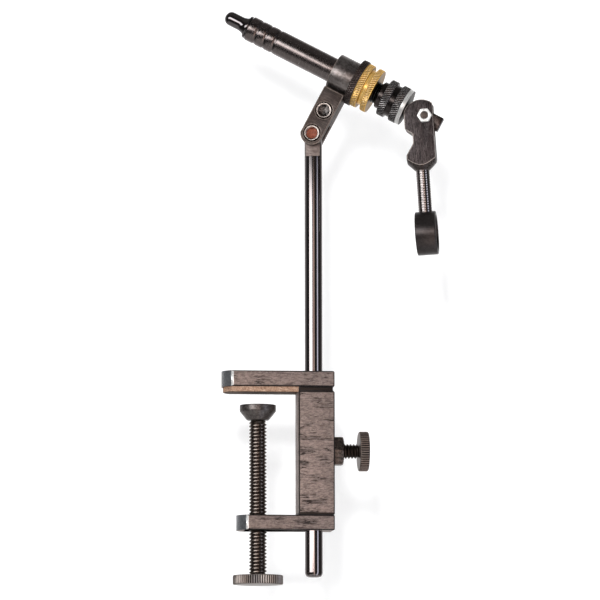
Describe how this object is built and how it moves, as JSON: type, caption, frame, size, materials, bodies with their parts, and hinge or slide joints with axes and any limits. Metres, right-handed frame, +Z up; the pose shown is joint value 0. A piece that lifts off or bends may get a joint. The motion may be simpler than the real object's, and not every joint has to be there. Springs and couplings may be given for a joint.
{
  "type": "fly tying vise",
  "caption": "Table clamp fly tying vise: a round post carries a tilting knuckle and a turning barrel with a split collet, worked by a cam lever with a finger ring.",
  "frame": {"origin": "on the underside of the jaw pad, the face that rests on the table top, on the clamp screw's axis", "axes": "+Z up along the post, X along the clamp's reach with the jaws towards -X and the lock knob towards +X"},
  "size_m": [0.1192, 0.0389, 0.3105],
  "materials": {
    "clamp_steel": "browned bar stock, worn satin with fine scratches",
    "cork_pad": "tan pad, matt",
    "phosphate_steel": "dark phosphate, satin",
    "knob_steel": "browned steel, straight knurl, worn bright on the teeth",
    "post_chrome": "polished black chrome",
    "knuckle_steel": "dark browned steel, satin",
    "copper_screw": "socket screw with a copper coloured recess",
    "socket_screw": "socket screw, dark with a bright rim",
    "sleeve_steel": "lighter satin steel",
    "gunmetal": "satin gunmetal",
    "black_knurl": "black oxide, diamond knurl",
    "brass": "yellow brass, diamond knurl",
    "bright_steel": "bright turned steel",
    "gloss_black": "polished black",
    "lever_steel": "dark grey, coarse brushed",
    "bright_nickel": "bright nickel",
    "rod_black": "glossy black, finely ribbed",
    "ring_black": "satin black"
  },
  "bodies": {
    "clamp": {"upper_jaw": "clamp_steel", "jaw_pad": "cork_pad", "clamp_column": "clamp_steel", "lower_arm": "clamp_steel", "lock_nut": "phosphate_steel"},
    "foot": {"pressure_foot": "phosphate_steel"},
    "clamp_screw_body": {"clamp_screw": "phosphate_steel", "clamp_knob": "knob_steel"},
    "lock_screw_body": {"lock_screw": "phosphate_steel", "lock_knob": "knob_steel"},
    "post_body": {"post": "post_chrome"},
    "knuckle": {"front_cheek": "knuckle_steel", "rear_cheek": "knuckle_steel", "pivot_screw": "copper_screw", "cheek_screw": "socket_screw", "barrel_sleeve": "sleeve_steel"},
    "barrel": {"barrel_tube": "gunmetal", "drag_ring": "black_knurl"},
    "brass_nut_body": {"brass_nut": "brass"},
    "washer": {"cam_washer": "bright_steel"},
    "collar": {"adjust_collar": "black_knurl"},
    "draw": {"draw_bar": "gunmetal"},
    "near_jaw_body": {"near_jaw": "gloss_black"},
    "far_jaw_body": {"far_jaw": "gloss_black"},
    "lever": {"cam_lever": "lever_steel", "axle_bolt": "phosphate_steel", "axle_nut": "bright_nickel", "lever_rod": "rod_black", "finger_ring": "ring_black"}
  },
  "joints": [
    {"name": "foot_slide", "type": "slide", "parent": "clamp", "child": "foot", "axis": [0, 0, 1], "range_m": [-0.045, 0.0063]},
    {"name": "clamp_screw_turn", "type": "hinge", "parent": "foot", "child": "clamp_screw_body", "pos_m": [0, 0, -0.0737], "axis": [0, 0, 1], "range_deg": [-8711, 1220]},
    {"name": "lock_screw_turn", "type": "hinge", "parent": "clamp", "child": "lock_screw_body", "pos_m": [0.03, 0, -0.031], "axis": [1, 0, 0], "range_deg": [-720, 0]},
    {"name": "post_slide", "type": "slide", "parent": "clamp", "child": "post_body", "axis": [0, 0, 1], "range_m": [-0.1, 0.045]},
    {"name": "knuckle_tilt", "type": "hinge", "parent": "post_body", "child": "knuckle", "pos_m": [0.03, 0, 0.14], "axis": [0.2079, 0.9781, 0], "range_deg": [-45, 30]},
    {"name": "barrel_turn", "type": "hinge", "parent": "knuckle", "child": "barrel", "pos_m": [0.04649, -0.0035, 0.1717], "axis": [0.8637, -0.1836, -0.4695], "continuous": true},
    {"name": "brass_nut_turn", "type": "hinge", "parent": "barrel", "child": "brass_nut_body", "pos_m": [0.05508, -0.00533, 0.16703], "axis": [0.8637, -0.1836, -0.4695], "range_deg": [-180, 0]},
    {"name": "washer_slide", "type": "slide", "parent": "barrel", "child": "washer", "axis": [0.8637, -0.1836, -0.4695], "range_m": [-0.00127, 0]},
    {"name": "collar_turn", "type": "hinge", "parent": "washer", "child": "collar", "pos_m": [0.06536, -0.00751, 0.16144], "axis": [0.8637, -0.1836, -0.4695], "range_deg": [-361, 0]},
    {"name": "draw_slide", "type": "slide", "parent": "barrel", "child": "draw", "axis": [-0.8637, 0.1836, 0.4695], "range_m": [0, 0.00243]},
    {"name": "lever_swing", "type": "hinge", "parent": "draw", "child": "lever", "pos_m": [0.08941, -0.01263, 0.14836], "axis": [-0.2079, -0.9781, 0], "range_deg": [0, 75]},
    {"name": "near_jaw_open", "type": "hinge", "parent": "draw", "child": "near_jaw_body", "pos_m": [0.00589, 0.00512, 0.19376], "axis": [0.4592, -0.0976, 0.8829], "range_deg": [0, 1.3]},
    {"name": "far_jaw_open", "type": "hinge", "parent": "draw", "child": "far_jaw_body", "pos_m": [0.00589, 0.00512, 0.19376], "axis": [-0.4592, 0.0976, -0.8829], "range_deg": [0, 1.3]}
  ],
  "couplings": [
    {"joint": "clamp_screw_turn", "follows": "foot_slide", "rad_per_m": 3378.1},
    {"joint": "collar_turn", "follows": "washer_slide", "rad_per_m": 4947.4},
    {"joint": "lever_swing", "follows": "draw_slide", "rad_per_m": 538.08},
    {"joint": "near_jaw_open", "follows": "draw_slide", "rad_per_m": 8.6092},
    {"joint": "far_jaw_open", "follows": "draw_slide", "rad_per_m": 8.6092}
  ]
}
